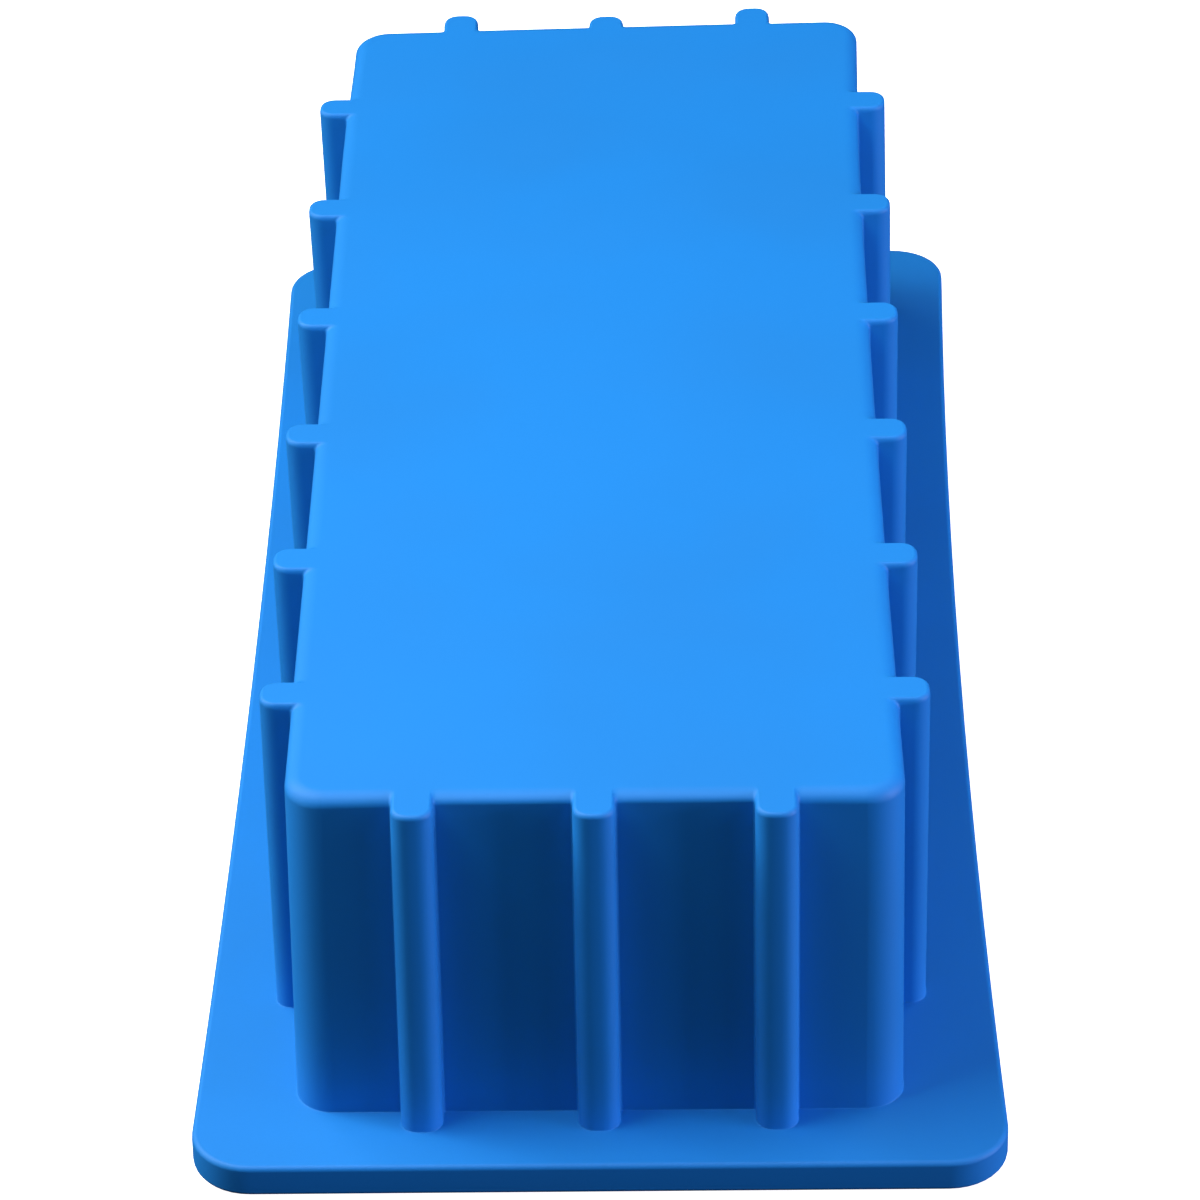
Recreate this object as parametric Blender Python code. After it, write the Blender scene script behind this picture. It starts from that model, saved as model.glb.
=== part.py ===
"""A flexible silicone loaf mould for soap, resting upside down on its rim.

The mould is a plain rectangular tub with a wide flat rim round its mouth and upright ribs that
stiffen its walls. The rim lies on the ground at Z = 0 and the mould's floor is on top, so the
cavity opens downwards. X runs across the mould, Y runs along it and +Z is up. Metres throughout.
The real mould is one moulding: its tub, rim and ribs are separate solids here, a gap apart.
"""

import math

import bmesh
import bpy

# The cavity, which is the size of the soap loaf. Length and width are at the cavity's floor.
CAVITY_LENGTH = 0.2165
CAVITY_WIDTH = 0.078
CAVITY_DEPTH = 0.055
CAVITY_CORNER_RADIUS = 0.0025
CAVITY_FLOOR_RADIUS = 0.003

# The tub round the cavity. The draft makes the loaf slide out.
WALL_THICKNESS = 0.004
FLOOR_THICKNESS = 0.005
FLOOR_EDGE_RADIUS = 0.002
SIDE_DRAFT = math.radians(0.36)
END_DRAFT = math.radians(1.8)

# The flat rim round the mouth.
RIM_THICKNESS = 0.0052
RIM_SIDE_OVERHANG = 0.0144
RIM_END_OVERHANG = 0.0120
RIM_CORNER_RADIUS = 0.009
RIM_EDGE_RADIUS = 0.0008

# The ribs. A margin is from the end of a wall to the middle of its nearest rib, at floor level.
RIB_WIDTH = 0.0059
RIB_REACH = 0.0046
RIB_NOSE_RADIUS = 0.0021
RIB_CAP_RADIUS = 0.0006
RIBS_PER_SIDE = 6
SIDE_RIB_FRONT_MARGIN = 0.0252
SIDE_RIB_BACK_MARGIN = 0.0285
RIBS_PER_END = 3
END_RIB_MARGIN = 0.0179

# Touching pieces keep this gap, and a cutter passes the face it opens by this much.
GAP = 0.0003
CUT_PAST = 0.001

# How finely round stretches are drawn.
CORNER_SEGMENTS = 8
EDGE_SEGMENTS = 4
NOSE_SEGMENTS = 6
CAP_SEGMENTS = 3

# Sizes that follow.
HEIGHT = CAVITY_DEPTH + FLOOR_THICKNESS
SIDE_FLARE = math.tan(SIDE_DRAFT)
END_FLARE = math.tan(END_DRAFT)
TUB_HALF_WIDTH = CAVITY_WIDTH / 2 + WALL_THICKNESS - SIDE_FLARE * FLOOR_THICKNESS
TUB_HALF_LENGTH = CAVITY_LENGTH / 2 + WALL_THICKNESS - END_FLARE * FLOOR_THICKNESS
TUB_CORNER_RADIUS = CAVITY_CORNER_RADIUS + WALL_THICKNESS
RIM_HALF_WIDTH = TUB_HALF_WIDTH + SIDE_FLARE * HEIGHT + RIM_SIDE_OVERHANG
RIM_HALF_LENGTH = TUB_HALF_LENGTH + END_FLARE * HEIGHT + RIM_END_OVERHANG
RIB_FOOT = RIM_THICKNESS + GAP
RIB_ROOT_DEPTH = FLOOR_EDGE_RADIUS + WALL_THICKNESS

SILICONE_BLUE = (0.022, 0.28, 0.87, 1.0)
SILICONE_ROUGHNESS = 0.5


def clear_scene():
    for old in list(bpy.data.objects):
        bpy.data.objects.remove(old, do_unlink=True)


def silicone(name):
    """Satin blue silicone rubber for one piece."""
    material = bpy.data.materials.new(name)
    material.use_nodes = True
    shader = material.node_tree.nodes["Principled BSDF"]
    shader.inputs["Base Color"].default_value = SILICONE_BLUE
    shader.inputs["Roughness"].default_value = SILICONE_ROUGHNESS
    shader.inputs["Metallic"].default_value = 0.0
    return material


def add_object(name, mesh, parent=None):
    added = bpy.data.objects.new(name, mesh)
    bpy.context.scene.collection.objects.link(added)
    added.parent = parent
    return added


def finish_mesh(name, bm):
    """Turns a bmesh into a named mesh with its round stretches shaded smooth."""
    mesh = bpy.data.meshes.new(name)
    bmesh.ops.recalc_face_normals(bm, faces=bm.faces)
    bm.to_mesh(mesh)
    bm.free()
    mesh.shade_smooth()
    mesh.set_sharp_from_angle(angle=math.radians(35))
    return mesh


def drafted_block(bottom, top, half_x, half_y):
    """A block with its half sizes given at the top, whose walls lean out on the way down."""
    bm = bmesh.new()
    bmesh.ops.create_cube(bm, size=2.0)
    for vert in bm.verts:
        drop = 0.0 if vert.co.z > 0 else top - bottom
        vert.co.x *= half_x + SIDE_FLARE * drop
        vert.co.y *= half_y + END_FLARE * drop
        vert.co.z = top - drop
    return bm


def upright_edges(bm):
    return [edge for edge in bm.edges if abs(edge.verts[0].co.z - edge.verts[1].co.z) > GAP]


def edges_at(bm, height):
    """The outline of the flat face at this height."""
    return [edge for edge in bm.edges if all(abs(vert.co.z - height) < 1e-6 for vert in edge.verts)]


def round_edges(bm, edges, radius, segments):
    bmesh.ops.bevel(
        bm,
        geom=edges,
        offset=radius,
        offset_type="OFFSET",
        segments=segments,
        profile=0.5,
        affect="EDGES",
    )


def rounded_block(bottom, top, half_x, half_y, corner_radius, edge_radius):
    """A drafted block with round upright corners and a round edge at the top."""
    bm = drafted_block(bottom, top, half_x, half_y)
    round_edges(bm, upright_edges(bm), corner_radius, CORNER_SEGMENTS)
    round_edges(bm, edges_at(bm, top), edge_radius, EDGE_SEGMENTS)
    return bm


def tub_block(bottom, grown_by):
    """The tub's outer shape, filled in, and grown on every side but its bottom."""
    return rounded_block(
        bottom,
        HEIGHT + grown_by,
        TUB_HALF_WIDTH + grown_by,
        TUB_HALF_LENGTH + grown_by,
        TUB_CORNER_RADIUS + grown_by,
        FLOOR_EDGE_RADIUS + grown_by,
    )


def make_cutter(name, bm):
    """A shape that only cuts others and isn't a piece of the mould."""
    cutter = add_object(name, finish_mesh(name, bm))
    cutter.hide_render = True
    cutter.display_type = "WIRE"
    return cutter


def cavity_cutter():
    bm = rounded_block(
        -CUT_PAST,
        CAVITY_DEPTH,
        CAVITY_WIDTH / 2,
        CAVITY_LENGTH / 2,
        CAVITY_CORNER_RADIUS,
        CAVITY_FLOOR_RADIUS,
    )
    return make_cutter("cavity_cutter", bm)


def cut(piece, cutter):
    modifier = piece.modifiers.new("cut", "BOOLEAN")
    modifier.operation = "DIFFERENCE"
    modifier.solver = "EXACT"
    modifier.object = cutter


def make_tub(parent):
    """Four walls and the floor, with the cavity cut out of them."""
    tub = add_object("tub", finish_mesh("tub", tub_block(0.0, 0.0)), parent)
    tub.data.materials.append(silicone("tub silicone"))
    cut(tub, cavity_cutter())
    return tub


def make_rim(parent, tub_space):
    """The flat rim, a rounded plate with the tub's foot cut out of its middle."""
    bm = bmesh.new()
    bmesh.ops.create_cube(bm, size=2.0)
    for vert in bm.verts:
        vert.co.x *= RIM_HALF_WIDTH
        vert.co.y *= RIM_HALF_LENGTH
        vert.co.z = RIM_THICKNESS if vert.co.z > 0 else 0.0
    round_edges(bm, upright_edges(bm), RIM_CORNER_RADIUS, CORNER_SEGMENTS)
    round_edges(bm, edges_at(bm, RIM_THICKNESS) + edges_at(bm, 0.0), RIM_EDGE_RADIUS, CAP_SEGMENTS)
    rim = add_object("rim", finish_mesh("rim", bm), parent)
    rim.data.materials.append(silicone("rim silicone"))
    cut(rim, tub_space)
    return rim


def rib_mesh(name, flare):
    """One rib standing on the rim at a wall whose face is Y = 0 at the top, reaching out along +Y."""
    bm = bmesh.new()
    bmesh.ops.create_cube(bm, size=2.0)
    for vert in bm.verts:
        drop = 0.0 if vert.co.z > 0 else HEIGHT - RIB_FOOT
        vert.co.x *= RIB_WIDTH / 2
        vert.co.y = RIB_REACH + flare * drop if vert.co.y > 0 else -RIB_ROOT_DEPTH
        vert.co.z = HEIGHT - drop
    nose = [edge for edge in upright_edges(bm) if edge.verts[0].co.y > 0]
    round_edges(bm, nose, RIB_NOSE_RADIUS, NOSE_SEGMENTS)
    cap = [edge for edge in edges_at(bm, HEIGHT) if any(vert.co.y > 0 for vert in edge.verts)]
    round_edges(bm, cap, RIB_CAP_RADIUS, CAP_SEGMENTS)
    mesh = finish_mesh(name, bm)
    mesh.materials.append(silicone(name + " silicone"))
    return mesh


def spread(count, half_length, first_margin, last_margin):
    """Evenly spaced places along a wall, in rising order, from one margin to the other."""
    first = -half_length + first_margin
    last = half_length - last_margin
    step = (last - first) / (count - 1)
    return [first + step * number for number in range(count)]


def place_rib(name, mesh, parent, tub_space, x, y, turn):
    rib = add_object(name, mesh, parent)
    rib.location = (x, y, 0.0)
    rib.rotation_euler = (0.0, 0.0, math.radians(turn))
    cut(rib, tub_space)


def make_side_ribs(parent, tub_space):
    """The ribs of the two long walls, numbered from the front."""
    mesh = rib_mesh("side_rib", SIDE_FLARE)
    places = spread(RIBS_PER_SIDE, TUB_HALF_LENGTH, SIDE_RIB_FRONT_MARGIN, SIDE_RIB_BACK_MARGIN)
    for number, y in enumerate(places, 1):
        place_rib(f"rib_left_{number}", mesh, parent, tub_space, -TUB_HALF_WIDTH, y, 90)
        place_rib(f"rib_right_{number}", mesh, parent, tub_space, TUB_HALF_WIDTH, y, -90)


def make_end_ribs(parent, tub_space):
    """The ribs of the two short walls, numbered from the left."""
    mesh = rib_mesh("end_rib", END_FLARE)
    places = spread(RIBS_PER_END, TUB_HALF_WIDTH, END_RIB_MARGIN, END_RIB_MARGIN)
    for number, x in enumerate(places, 1):
        place_rib(f"rib_front_{number}", mesh, parent, tub_space, x, -TUB_HALF_LENGTH, 180)
        place_rib(f"rib_back_{number}", mesh, parent, tub_space, x, TUB_HALF_LENGTH, 0)


def main():
    clear_scene()
    mould = add_object("soap_mould", None)
    tub_space = make_cutter("tub_space", tub_block(-CUT_PAST, GAP))
    make_tub(mould)
    make_rim(mould, tub_space)
    make_side_ribs(mould, tub_space)
    make_end_ribs(mould, tub_space)


main()
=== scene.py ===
# %% [markdown]
# # A silicone loaf mould for soap
#
# The mould is formed in one go from blue silicone rubber. It has a plain rectangular tub, a wide
# flat rim round the mouth, and upright ribs that keep the soft walls from bulging when the soap
# is poured. It rests upside down on its rim, so the floor of the tub is on top.
#
# The measured CAD model is loaded first and is never moved. Its twenty pieces give every size
# here. The whole moulding is then modelled by hand as one seamless skin, because the real one
# has no joins: where a rib meets a wall the rubber runs round in a small hollow curve.

# %% Load the measured frame
import math

import bmesh
import bpy
from mathutils import Matrix, Vector


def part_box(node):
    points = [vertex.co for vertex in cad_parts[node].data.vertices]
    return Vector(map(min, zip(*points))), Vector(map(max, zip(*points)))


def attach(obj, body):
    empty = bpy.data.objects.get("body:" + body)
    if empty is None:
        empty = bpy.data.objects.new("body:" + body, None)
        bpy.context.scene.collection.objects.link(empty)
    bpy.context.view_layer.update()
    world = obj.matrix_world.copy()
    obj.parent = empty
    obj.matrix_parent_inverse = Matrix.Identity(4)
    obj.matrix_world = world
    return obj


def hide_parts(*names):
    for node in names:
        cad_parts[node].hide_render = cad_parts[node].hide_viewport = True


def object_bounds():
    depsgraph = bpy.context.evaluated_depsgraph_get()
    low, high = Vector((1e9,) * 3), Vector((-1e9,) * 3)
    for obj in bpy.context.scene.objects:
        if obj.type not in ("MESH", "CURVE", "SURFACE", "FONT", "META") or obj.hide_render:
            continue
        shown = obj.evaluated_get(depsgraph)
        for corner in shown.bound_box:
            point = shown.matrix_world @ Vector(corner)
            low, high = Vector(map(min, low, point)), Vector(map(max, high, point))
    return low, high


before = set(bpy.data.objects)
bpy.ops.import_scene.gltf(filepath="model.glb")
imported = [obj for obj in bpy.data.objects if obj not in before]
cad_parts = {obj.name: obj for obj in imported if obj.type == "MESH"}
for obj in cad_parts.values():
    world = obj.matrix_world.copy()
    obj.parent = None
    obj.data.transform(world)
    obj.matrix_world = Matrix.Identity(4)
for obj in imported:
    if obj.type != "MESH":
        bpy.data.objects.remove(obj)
cad_low, cad_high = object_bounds()
print("CAD nodes:", len(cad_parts), "box:", list(cad_low), list(cad_high))

# %% [markdown]
# ## Sizes
#
# Everything that the CAD model has already settled is read from its pieces: the height, the
# outline of the tub and of the rim, and the width, reach and place of each rib. Only the round
# corners and edges of the moulding, and the lean of the walls, are given here.

# %% Read the sizes from the frame
MM = 0.001
SIDE_DRAFT = math.radians(0.36)
END_DRAFT = math.radians(1.8)

tub_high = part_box("tub")[1]
rim_low, rim_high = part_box("rim")
height = tub_high.z
rim_top = rim_high.z
tub_foot = rim_top / 2
side_flare = math.tan(SIDE_DRAFT)
end_flare = math.tan(END_DRAFT)
half_width = tub_high.x - side_flare * height
half_length = tub_high.y - end_flare * height

side_ribs = [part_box(name) for name in sorted(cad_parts) if name.startswith("rib_left")]
end_ribs = [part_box(name) for name in sorted(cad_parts) if name.startswith("rib_front")]
side_rib_places = [(low.y + high.y) / 2 for low, high in side_ribs]
end_rib_places = [(low.x + high.x) / 2 for low, high in end_ribs]
first_low, first_high = side_ribs[0]
rib_width = first_high.y - first_low.y
rib_reach = -first_low.x - half_width - side_flare * (height - first_low.z)
print(f"rib: {rib_width / MM:.2f} mm wide, reaching {rib_reach / MM:.2f} mm")

# %% Name the curves of the moulding
TUB_CORNER = 5.5 * MM
FLOOR_EDGE = 2.3 * MM
RIM_CORNER = 9.0 * MM
RIM_EDGE = 0.8 * MM
RIB_NOSE = 2.4 * MM
RIB_CAP = 0.6 * MM
RIB_ROOT = 0.35 * MM
FOOT = 0.25 * MM

# How finely each round stretch is drawn.
NOSE_SEGMENTS = 6
ROOT_SEGMENTS = 3
CORNER_SEGMENTS = 10
TOP_SEGMENTS = 6
EDGE_SEGMENTS = 4
FOOT_SEGMENTS = 2

# What counts as the same place, an upright edge, a face's direction, and an edge that is flat.
SAME = 0.01 * MM
LEAST_UPRIGHT = 10 * MM
MOSTLY = 0.5
FLAT = math.radians(1)

# %% [markdown]
# ## Working by hand
#
# These helpers are the moves of a person at the screen: choose a piece, go into edit mode,
# select some edges or faces, and use a tool on them. Selecting by place or by direction, and not
# by number, keeps each step true when the one before it changes.


# %% Choose a piece, and select parts of it
def choose(piece):
    """Makes this piece the only one that is selected, and the active one."""
    bpy.ops.object.select_all(action="DESELECT")
    piece.select_set(True)
    bpy.context.view_layer.objects.active = piece


def edit(piece, kind, wanted):
    """Goes into edit mode with only the wanted vertices, edges or faces of the piece selected."""
    choose(piece)
    bpy.ops.object.mode_set(mode="EDIT")
    bpy.ops.mesh.select_mode(type=kind)
    bpy.ops.mesh.select_all(action="DESELECT")
    shape = bmesh.from_edit_mesh(piece.data)
    parts = {"VERT": shape.verts, "EDGE": shape.edges, "FACE": shape.faces}[kind]
    found = [part for part in parts if wanted(part)]
    for part in found:
        part.select_set(True)
    bmesh.update_edit_mesh(piece.data)
    return len(found)


def leave_edit():
    bpy.ops.object.mode_set(mode="OBJECT")


# %% Blocks, rounding, joining and cutting
def add_block(name, low, high):
    """A box between two corners, with its place in its mesh."""
    bpy.ops.object.select_all(action="DESELECT")
    bpy.ops.mesh.primitive_cube_add(size=1.0, location=(low + high) / 2, scale=high - low)
    bpy.ops.object.transform_apply(location=True, rotation=True, scale=True)
    block = bpy.context.object
    block.name = name
    return block


def round_edges(piece, wanted, radius, segments):
    count = edit(piece, "EDGE", wanted)
    bpy.ops.mesh.bevel(
        offset=radius, offset_type="OFFSET", segments=segments, profile=0.5, affect="EDGES"
    )
    leave_edit()
    print(f"{piece.name}: {count} edges rounded to {radius / MM:.2f} mm")


def boolean(piece, other, operation):
    """Joins the other piece to this one, or cuts it out of this one, and removes it."""
    choose(piece)
    modifier = piece.modifiers.new("boolean", "BOOLEAN")
    modifier.operation = operation
    modifier.solver = "EXACT"
    modifier.object = other
    bpy.ops.object.modifier_apply(modifier=modifier.name)
    bpy.data.objects.remove(other)


def is_level(edge, at):
    """True for an edge that lies flat at this height."""
    return all(abs(vert.co.z - at) < SAME for vert in edge.verts)


def is_upright(edge):
    return abs(edge.verts[0].co.z - edge.verts[1].co.z) > LEAST_UPRIGHT


def middle(edge):
    return (edge.verts[0].co + edge.verts[1].co) / 2


# %% [markdown]
# ## The tub and its ribs
#
# The tub starts as a block. Cuts straight across it mark both sides of every rib, and the strips
# of wall between the cuts are drawn outwards, so that ribs and walls are one skin from the
# start. Separate ribs pushed into the wall would leave a hard crease instead.

# %% Draw the ribs out of a block
tub = add_block(
    "moulding",
    Vector((-half_width, -half_length, tub_foot)),
    Vector((half_width, half_length, height)),
)


def cut_across(piece, place, direction):
    """A straight cut through the whole piece at this place."""
    edit(piece, "FACE", lambda face: True)
    bpy.ops.mesh.bisect(plane_co=place, plane_no=direction)
    leave_edit()


for sign in (-1, 1):
    for y in side_rib_places:
        cut_across(tub, (0, y + sign * rib_width / 2, 0), (0, 1, 0))
    for x in end_rib_places:
        cut_across(tub, (x + sign * rib_width / 2, 0, 0), (1, 0, 0))


def is_rib_strip(face):
    """True for a strip of wall that a rib grows from."""
    centre = face.calc_center_median()
    if abs(face.normal.z) > MOSTLY:
        return False
    if abs(face.normal.x) > MOSTLY:
        return any(abs(centre.y - place) < rib_width / 4 for place in side_rib_places)
    return any(abs(centre.x - place) < rib_width / 4 for place in end_rib_places)


strips = edit(tub, "FACE", is_rib_strip)
bpy.ops.mesh.extrude_region_shrink_fatten(TRANSFORM_OT_shrink_fatten={"value": rib_reach})
leave_edit()

SHORT_BY = 1.6 * MM


def is_short_rib(face):
    """True for the nose of the middle rib at the back, which is shorter than the others."""
    centre = face.calc_center_median()
    on_nose = centre.y > half_length + rib_reach / 2 and face.normal.y > MOSTLY
    return on_nose and abs(centre.x) < rib_width


edit(tub, "FACE", is_short_rib)
bpy.ops.transform.translate(value=(0, -SHORT_BY, 0))
leave_edit()
edit(tub, "FACE", lambda face: True)
bpy.ops.mesh.dissolve_limited(angle_limit=FLAT)
leave_edit()
print(strips, "ribs, reaching", [round(side / MM, 2) for side in tub.dimensions])

# %% [markdown]
# The walls lean out on their way down to the rim, so that the soap slides out. A wall leans when
# the feet of its vertices move out and their tops stay. The upright edges are rounded next, in
# three sizes, and each rib gets a small hollow curve where it leaves the wall.


# %% Lean the walls out and round the upright edges
def lean_wall(piece, direction, reach, flare):
    """Moves the foot of the wall on this side outwards."""
    drop = height - tub_foot
    edit(
        piece,
        "VERT",
        lambda vert: vert.co.z < height / 2 and vert.co.dot(direction) > reach - SAME,
    )
    bpy.ops.transform.translate(value=direction * flare * drop)
    leave_edit()


for sign in (-1, 1):
    lean_wall(tub, Vector((sign, 0, 0)), half_width, side_flare)
    lean_wall(tub, Vector((0, sign, 0)), half_length, end_flare)


def past_wall(place):
    """How far out of the tub's walls a place at the top is, in metres, or 0 inside them."""
    return max(abs(place.x) - half_width, abs(place.y) - half_length, 0.0)


def top_end(edge):
    return max(edge.verts, key=lambda vert: vert.co.z).co


def is_tub_corner(edge):
    top = top_end(edge)
    on_side = abs(abs(top.x) - half_width) < SAME
    on_end = abs(abs(top.y) - half_length) < SAME
    return is_upright(edge) and on_side and on_end


def is_rib_nose(edge):
    return is_upright(edge) and past_wall(top_end(edge)) > rib_reach / 2


def is_rib_root(edge):
    return is_upright(edge) and past_wall(top_end(edge)) < SAME and not is_tub_corner(edge)


round_edges(tub, is_rib_nose, RIB_NOSE, NOSE_SEGMENTS)
round_edges(tub, is_rib_root, RIB_ROOT, ROOT_SEGMENTS)
round_edges(tub, is_tub_corner, TUB_CORNER, CORNER_SEGMENTS)

# %% [markdown]
# The edge of the floor is round, 2.3 mm on the tub but only 0.6 mm on the ribs' caps. One bevel
# makes both, because each edge carries a weight, and the weight runs smoothly from one size to
# the other round the hollow curve at the root of a rib.

# %% Round the top edge
edit(tub, "EDGE", lambda edge: False)
shape = bmesh.from_edit_mesh(tub.data)
weights = shape.edges.layers.float.new("bevel_weight_edge")
for edge in shape.edges:
    if is_level(edge, height):
        share = min(past_wall(middle(edge)) / RIB_ROOT, 1.0)
        edge[weights] = 1.0 + share * (RIB_CAP / FLOOR_EDGE - 1.0)
bmesh.update_edit_mesh(tub.data)
leave_edit()

bevel = tub.modifiers.new("floor edge", "BEVEL")
bevel.limit_method = "WEIGHT"
bevel.width = FLOOR_EDGE
bevel.segments = TOP_SEGMENTS
bevel.use_clamp_overlap = False
choose(tub)
bpy.ops.object.modifier_apply(modifier=bevel.name)
print("tub:", len(tub.data.polygons), "faces")

# %% [markdown]
# ## The rim
#
# The rim is a flat plate with round corners and slightly softened edges. It is joined to the tub
# with a union, and the line where they meet gets the same small hollow curve as the ribs.

# %% Add the rim
rim = add_block("rim_plate", Vector(rim_low), Vector(rim_high))
round_edges(rim, lambda edge: not is_level(edge, edge.verts[0].co.z), RIM_CORNER, CORNER_SEGMENTS)
round_edges(
    rim,
    lambda edge: is_level(edge, rim_top) or is_level(edge, 0.0),
    RIM_EDGE,
    EDGE_SEGMENTS,
)
boolean(tub, rim, "UNION")

FOLD = math.radians(20)


def is_foot(edge):
    """True for an edge on the line where the walls and ribs stand on the rim."""
    near_tub = past_wall(middle(edge)) < 2 * rib_reach
    return is_level(edge, rim_top) and near_tub and edge.calc_face_angle(0.0) > FOLD


round_edges(tub, is_foot, FOOT, FOOT_SEGMENTS)

# %% [markdown]
# ## The cavity
#
# The cavity is what the mould is for: it is the shape of the loaf of soap. It opens at the table
# and has the same leaning walls, with a rounder edge round the loaf's top.

# %% Cut the cavity
WALL = 4.0 * MM
FLOOR = 5.0 * MM
LOAF_CORNER = 2.5 * MM
LOAF_EDGE = 3.0 * MM
LOAF_CORNER_SEGMENTS = 6
LOAF_EDGE_SEGMENTS = 5
CUT_PAST = 1.0 * MM

depth = height - FLOOR
loaf_half_width = half_width + side_flare * FLOOR - WALL
loaf_half_length = half_length + end_flare * FLOOR - WALL
loaf_top = Vector((loaf_half_width, loaf_half_length, depth))
loaf = add_block("loaf", Vector((-loaf_top.x, -loaf_top.y, -CUT_PAST)), loaf_top)


def lean_loaf(direction, flare):
    """Moves the foot of the loaf's wall on this side outwards."""
    edit(loaf, "VERT", lambda vert: vert.co.z < 0 and vert.co.dot(direction) > 0)
    bpy.ops.transform.translate(value=direction * flare * (depth + CUT_PAST))
    leave_edit()


for sign in (-1, 1):
    lean_loaf(Vector((sign, 0, 0)), side_flare)
    lean_loaf(Vector((0, sign, 0)), end_flare)
round_edges(loaf, is_upright, LOAF_CORNER, LOAF_CORNER_SEGMENTS)
round_edges(loaf, lambda edge: is_level(edge, depth), LOAF_EDGE, LOAF_EDGE_SEGMENTS)
boolean(tub, loaf, "DIFFERENCE")


def is_mouth(edge):
    inside = abs(middle(edge).x) < tub_high.x and abs(middle(edge).y) < tub_high.y
    return is_level(edge, 0.0) and inside and edge.calc_face_angle(0.0) > FOLD


round_edges(tub, is_mouth, RIM_EDGE, EDGE_SEGMENTS)
print("moulding:", len(tub.data.polygons), "faces")

# %% [markdown]
# ## The give of soft rubber
#
# Silicone rubber doesn't hold a straight line. The long walls bow in a little between the
# corners, the rim follows them, and its back end has slid sideways on the table. The floor stays
# nearly true because it is the stiffest part. The mould is cut across into short lengths first,
# so that the long straight edges have vertices that can bow.

# %% Let the rubber relax
WALL_BOW = 1.0 * MM
WALLS_STRAIGHT_AT = 92 * MM
RIM_SLIDE = 1.8 * MM
FLOOR_BOW = 0.55 * MM
FLOOR_STRAIGHT_AT = 95 * MM
BACK_STARTS_AT = 70 * MM
BACK_SHIFT = 0.6 * MM
BACK_PUSHED_IN = 0.6 * MM
BACK_TURN = 1.4 * MM

side_step = (side_rib_places[-1] - side_rib_places[0]) / (len(side_rib_places) - 1)
end_step = (end_rib_places[-1] - end_rib_places[0]) / (len(end_rib_places) - 1)
for number in range(2 * len(side_rib_places) + 1):
    cut_across(tub, (0, side_rib_places[0] + (number - 1) * side_step / 2, 0), (0, 1, 0))
for number in range(2 * len(end_rib_places) + 1):
    cut_across(tub, (end_rib_places[0] + (number - 1) * end_step / 2, 0, 0), (1, 0, 0))
edit(tub, "VERT", lambda vert: True)
bpy.ops.mesh.remove_doubles(threshold=SAME)
leave_edit()


def between(low, high, value):
    """0 below the low value, 1 above the high one, and a smooth rise between them."""
    share = max(0.0, min(1.0, (value - low) / (high - low)))
    return share * share * (3.0 - 2.0 * share)


def relaxed(place):
    """Where a point of the stiff shape goes to in soft rubber."""
    up = place.z / height
    side = max(-1.0, min(1.0, place.x / half_width))
    back = between(BACK_STARTS_AT, half_length, place.y)
    along = (place.y - cad_low.y) / (cad_high.y - cad_low.y)
    wall_bow = side * WALL_BOW * (1.0 - (place.y / WALLS_STRAIGHT_AT) ** 2)
    floor_bow = max(side, 0.0) * FLOOR_BOW * (1.0 - (place.y / FLOOR_STRAIGHT_AT) ** 2)
    at_rim = RIM_SLIDE * along**2 - wall_bow
    at_floor = BACK_SHIFT * back - floor_bow
    across = at_rim * (1.0 - up) + at_floor * up
    endways = (BACK_TURN * side - BACK_PUSHED_IN) * back
    return Vector((place.x + across, place.y + endways, place.z))


for vert in tub.data.vertices:
    vert.co = relaxed(vert.co)

# %% Shade it smooth, with the flat faces kept flat
SMOOTH_UNDER = math.radians(40)

moulding = tub
choose(moulding)
bpy.ops.object.shade_smooth_by_angle(angle=SMOOTH_UNDER)
even = moulding.modifiers.new("even shading", "WEIGHTED_NORMAL")
even.mode = "FACE_AREA"
even.weight = 100
even.keep_sharp = True
bpy.ops.object.modifier_apply(modifier=even.name)

# %% [markdown]
# ## The rubber
#
# Silicone rubber for soap moulds is coloured all through with a bright blue pigment and pressed
# hot between steel plates. The plates are finely blasted, so the rubber comes out satin and not
# shiny: light spreads on it in a broad soft patch. It is never quite even. The pigment clouds a
# little, handling leaves duller smudges, the skin is very slightly wavy, and because silicone
# holds dust, a few small specks lie on it. Each of these is one pattern here, drawn over the
# object's own coordinates in metres, so that its scale is a real size.


# %% Colours and nodes
def linear(hex_colour):
    """An sRGB hex colour as the linear numbers that Blender mixes."""
    shares = [int(hex_colour[start : start + 2], 16) / 255 for start in (0, 2, 4)]
    return [s / 12.92 if s <= 0.04045 else ((s + 0.055) / 1.055) ** 2.4 for s in shares] + [1.0]


def socket(sockets, name):
    return next(found for found in sockets if found.identifier == name)


def feed(tree, node, inputs):
    """Gives each input of a node a value, or a link from a (node, output) pair."""
    for name, value in inputs.items():
        if isinstance(value, tuple):
            source, output = value
            tree.links.new(socket(source.outputs, output), socket(node.inputs, name))
        else:
            socket(node.inputs, name).default_value = value


def add_node(tree, kind, settings, inputs):
    """Adds a node, sets its properties, and feeds its inputs."""
    node = tree.nodes.new(kind)
    for name, value in settings.items():
        setattr(node, name, value)
    feed(tree, node, inputs)
    return node


# %% Silicone: clouded pigment
RUBBER_BLUE = linear("0a79c5")
CLOUDED_BLUE = linear("0a75be")
CLOUD_WIDTH = 45 * MM
CLOUD_RANGE = (0.35, 0.65)
PIGMENT_GRAIN = 0.5 * MM
GRAIN_RANGE = (0.3, 0.7)
GRAIN_SHARE = 0.25

silicone = bpy.data.materials.new("moulded_silicone_rubber")
silicone.use_nodes = True
tree = silicone.node_tree
coordinates = (add_node(tree, "ShaderNodeTexCoord", {}, {}), "Object")

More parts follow.
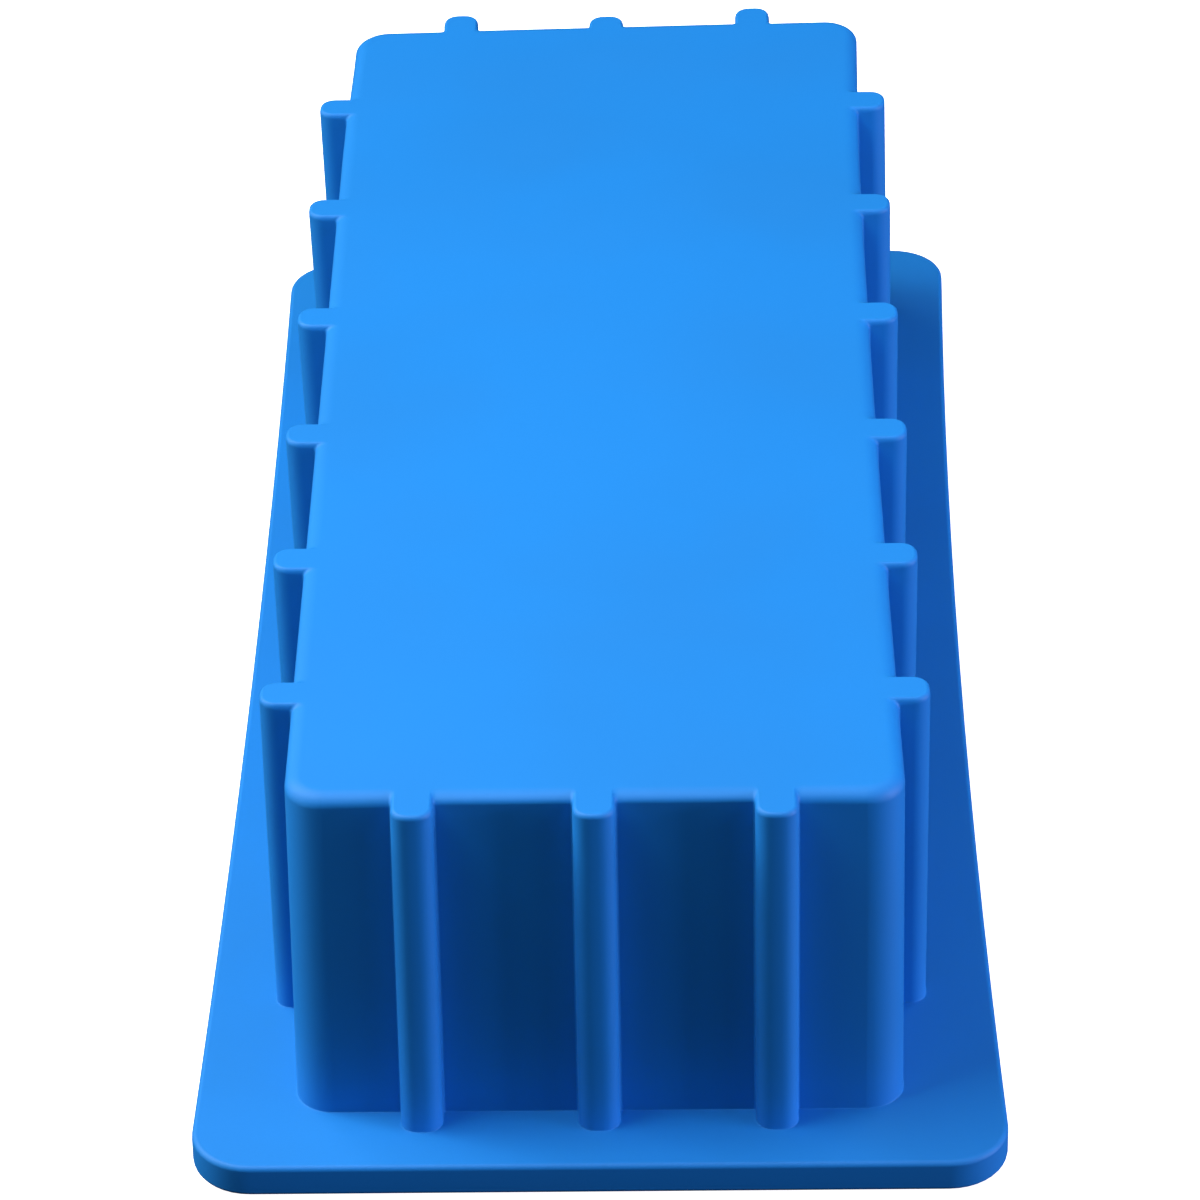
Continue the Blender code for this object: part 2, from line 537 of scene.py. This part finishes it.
clouds = add_node(
    tree,
    "ShaderNodeTexNoise",
    {},
    {"Vector": coordinates, "Scale": 1 / CLOUD_WIDTH, "Detail": 2.0, "Roughness": 0.5},
)
cloud_share = add_node(
    tree,
    "ShaderNodeMapRange",
    {},
    {"Value": (clouds, "Fac"), "From Min": CLOUD_RANGE[0], "From Max": CLOUD_RANGE[1]},
)
clouded = add_node(
    tree,
    "ShaderNodeMix",
    {"data_type": "RGBA"},
    {"Factor_Float": (cloud_share, "Result"), "A_Color": RUBBER_BLUE, "B_Color": CLOUDED_BLUE},
)
grain = add_node(
    tree,
    "ShaderNodeTexNoise",
    {},
    {"Vector": coordinates, "Scale": 1 / PIGMENT_GRAIN, "Detail": 1.0, "Roughness": 0.5},
)
grain_share = add_node(
    tree,
    "ShaderNodeMapRange",
    {},
    {
        "Value": (grain, "Fac"),
        "From Min": GRAIN_RANGE[0],
        "From Max": GRAIN_RANGE[1],
        "To Max": GRAIN_SHARE,
    },
)
grained = add_node(
    tree,
    "ShaderNodeMix",
    {"data_type": "RGBA"},
    {
        "Factor_Float": (grain_share, "Result"),
        "A_Color": (clouded, "Result_Color"),
        "B_Color": CLOUDED_BLUE,
    },
)

# %% [markdown]
# The specks are bits of dust half a millimetre across. A cell pattern gives one point to each
# 14 mm of rubber, and the cell's own random colour decides whether a speck lies there.

# %% Silicone: specks of dust
SPECK_BLUE = linear("085c96")
SPECK_SPACING = 14 * MM
SPECK_SIZE = 0.45 * MM
SPECK_FADE = (0.6, 1.6)
SPECKS_IN_SIGHT = 0.3
SPECK_STRENGTH = 0.8

speck_radius = SPECK_SIZE / 2 / SPECK_SPACING
cells = add_node(
    tree, "ShaderNodeTexVoronoi", {}, {"Vector": coordinates, "Scale": 1 / SPECK_SPACING}
)
spots = add_node(
    tree,
    "ShaderNodeMapRange",
    {},
    {
        "Value": (cells, "Distance"),
        "From Min": SPECK_FADE[0] * speck_radius,
        "From Max": SPECK_FADE[1] * speck_radius,
        "To Min": SPECK_STRENGTH,
        "To Max": 0.0,
    },
)
chance = add_node(tree, "ShaderNodeSeparateColor", {}, {"Color": (cells, "Color")})
chosen = add_node(
    tree,
    "ShaderNodeMath",
    {"operation": "LESS_THAN"},
    {"Value": (chance, "Red"), "Value_001": SPECKS_IN_SIGHT},
)
specks = add_node(
    tree,
    "ShaderNodeMath",
    {"operation": "MULTIPLY"},
    {"Value": (spots, "Result"), "Value_001": (chosen, "Value")},
)
speckled = add_node(
    tree,
    "ShaderNodeMix",
    {"data_type": "RGBA"},
    {
        "Factor_Float": (specks, "Value"),
        "A_Color": (grained, "Result_Color"),
        "B_Color": SPECK_BLUE,
    },
)

# %% [markdown]
# The blasted steel leaves a grain of about a third of a millimetre in the rubber, only a few
# thousandths of a millimetre deep. It is drawn at half a millimetre so that it shows. The wave
# in the skin is tens of millimetres long: it bends the soft highlights a little and no more.

# %% Silicone: satin skin
SATIN = 0.60
SMUDGED = 0.63
SMUDGE_WIDTH = 22 * MM
SMUDGE_RANGE = (0.4, 0.7)
BLAST_GRAIN = 0.5 * MM
BLAST_DEPTH = 0.006 * MM
WAVE_WIDTH = 35 * MM
WAVE_DEPTH = 0.025 * MM
SILICONE_IOR = 1.41

smudges = add_node(
    tree,
    "ShaderNodeTexNoise",
    {},
    {"Vector": coordinates, "Scale": 1 / SMUDGE_WIDTH, "Detail": 3.0, "Roughness": 0.55},
)
dullness = add_node(
    tree,
    "ShaderNodeMapRange",
    {},
    {
        "Value": (smudges, "Fac"),
        "From Min": SMUDGE_RANGE[0],
        "From Max": SMUDGE_RANGE[1],
        "To Min": SATIN,
        "To Max": SMUDGED,
    },
)
waves = add_node(
    tree,
    "ShaderNodeTexNoise",
    {},
    {"Vector": coordinates, "Scale": 1 / WAVE_WIDTH, "Detail": 1.0, "Roughness": 0.4},
)
wavy = add_node(tree, "ShaderNodeBump", {}, {"Distance": WAVE_DEPTH, "Height": (waves, "Fac")})
blasting = add_node(
    tree,
    "ShaderNodeTexNoise",
    {},
    {"Vector": coordinates, "Scale": 1 / BLAST_GRAIN, "Detail": 2.0, "Roughness": 0.6},
)
blasted = add_node(
    tree,
    "ShaderNodeBump",
    {},
    {"Distance": BLAST_DEPTH, "Height": (blasting, "Fac"), "Normal": (wavy, "Normal")},
)
feed(
    tree,
    tree.nodes["Principled BSDF"],
    {
        "Base Color": (speckled, "Result_Color"),
        "Roughness": (dullness, "Result"),
        "IOR": SILICONE_IOR,
        "Normal": (blasted, "Normal"),
    },
)
moulding.data.materials.clear()
moulding.data.materials.append(silicone)
print("silicone:", len(tree.nodes), "nodes")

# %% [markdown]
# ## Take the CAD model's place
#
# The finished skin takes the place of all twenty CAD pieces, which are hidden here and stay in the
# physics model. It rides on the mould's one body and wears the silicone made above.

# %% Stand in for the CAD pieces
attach(moulding, "root")
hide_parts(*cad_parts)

# %% [markdown]
# ## The studio
#
# The mould lies on a white table in a white room, as things for sale are shown. Table and room
# glow just enough to be pure white to the camera, with no shadow and no horizon. They give the
# mould almost no light, so that the softboxes alone shape the walls and the ribs.

# %% White table and room
TABLE_WIDTH = 12.0
TABLE_DROP = 0.1 * MM
ROOM_LIGHT = 0.01
WHITE = linear("ffffff")

bpy.ops.object.select_all(action="DESELECT")
bpy.ops.mesh.primitive_plane_add(size=TABLE_WIDTH, location=(0, 0, -TABLE_DROP))
table = bpy.context.object
table.name = "table"
paper = bpy.data.materials.new("white_paper")
paper.use_nodes = True
feed(
    paper.node_tree,
    paper.node_tree.nodes["Principled BSDF"],
    {"Base Color": WHITE, "Roughness": 0.9, "Emission Color": WHITE, "Emission Strength": 1.0},
)
table.data.materials.append(paper)
table.visible_diffuse = False
table.visible_glossy = False

world = bpy.data.worlds.new("studio")
bpy.context.scene.world = world
world.use_nodes = True
room = world.node_tree
ray = add_node(room, "ShaderNodeLightPath", {}, {})
strength = add_node(
    room,
    "ShaderNodeMapRange",
    {},
    {"Value": (ray, "Is Camera Ray"), "To Min": ROOM_LIGHT, "To Max": 1.0},
)
feed(room, room.nodes["Background"], {"Color": WHITE, "Strength": (strength, "Result")})

# %% [markdown]
# The key light stands on the left, a little behind the mould, so that the front wall and the
# right side of the rim lie in shade. Two small softboxes hang close, above the front and above
# the front left corner, and make the floor of the tub fade a little towards its back. Cool fill
# light, most of it from low on the right, keeps the shaded walls a deep blue and picks out the
# ribs. Each softbox is placed by its bearing round the mould, its height as an angle, and its
# distance, and its width grows with its distance.

# %% Softboxes
NEUTRAL = (1.0, 1.0, 1.0)
COOL = (0.75, 0.7, 1.0)
WIDTH_FOR_DISTANCE = 0.385
NEAR = 0.6
FAR = 1.3


def add_softbox(name, around, up, away, power, colour):
    """A square softbox that faces the mould. Its bearing runs from the front round by the right."""
    bearing = math.radians(around)
    rise = math.radians(up)
    level = math.cos(rise)
    direction = Vector((math.sin(bearing) * level, -math.cos(bearing) * level, math.sin(rise)))
    bpy.ops.object.light_add(type="AREA", location=away * direction)
    light = bpy.context.object
    light.name = name
    light.data.size = WIDTH_FOR_DISTANCE * away
    light.data.energy = power
    light.data.color = colour
    light.rotation_euler = (-direction).to_track_quat("-Z", "Y").to_euler()
    print(f"{name}: {power} W at {away} m")


add_softbox("key", 260, 33, FAR, 11.8, NEUTRAL)
add_softbox("high_back", 240, 62, FAR, 5.8, NEUTRAL)
add_softbox("high_left", 300, 62, NEAR, 1.95, NEUTRAL)
add_softbox("high_right", 120, 62, FAR, 2.7, NEUTRAL)
add_softbox("low_right", 75, 8, FAR, 17.8, COOL)
add_softbox("low_left", 285, 8, FAR, 4.4, COOL)
add_softbox("right", 60, 33, FAR, 3.1, COOL)
add_softbox("high_front", 0, 62, NEAR, 0.7, COOL)

# %% [markdown]
# The camera looks down on the front end of the mould from 0.73 m away, through a long lens. It
# is turned and tipped by about a degree, as a camera held by hand is.

# %% Camera
CAMERA_PLACE = Vector((0.0112, -0.6965, 0.4935))
CAMERA_TURN = math.radians(0.96)
CAMERA_DOWN = math.radians(34.44)
CAMERA_TIP = math.radians(-1.09)
LENS_MM = 158.45
SENSOR_MM = 36.0

bpy.ops.object.camera_add()
camera = bpy.context.object
camera.data.lens = LENS_MM
camera.data.sensor_width = SENSOR_MM
camera.matrix_world = (
    Matrix.Translation(CAMERA_PLACE)
    @ Matrix.Rotation(CAMERA_TURN, 4, "Z")
    @ Matrix.Rotation(math.radians(90) - CAMERA_DOWN, 4, "X")
    @ Matrix.Rotation(CAMERA_TIP, 4, "Z")
)
bpy.context.scene.camera = camera
bpy.context.scene.view_settings.view_transform = "Standard"
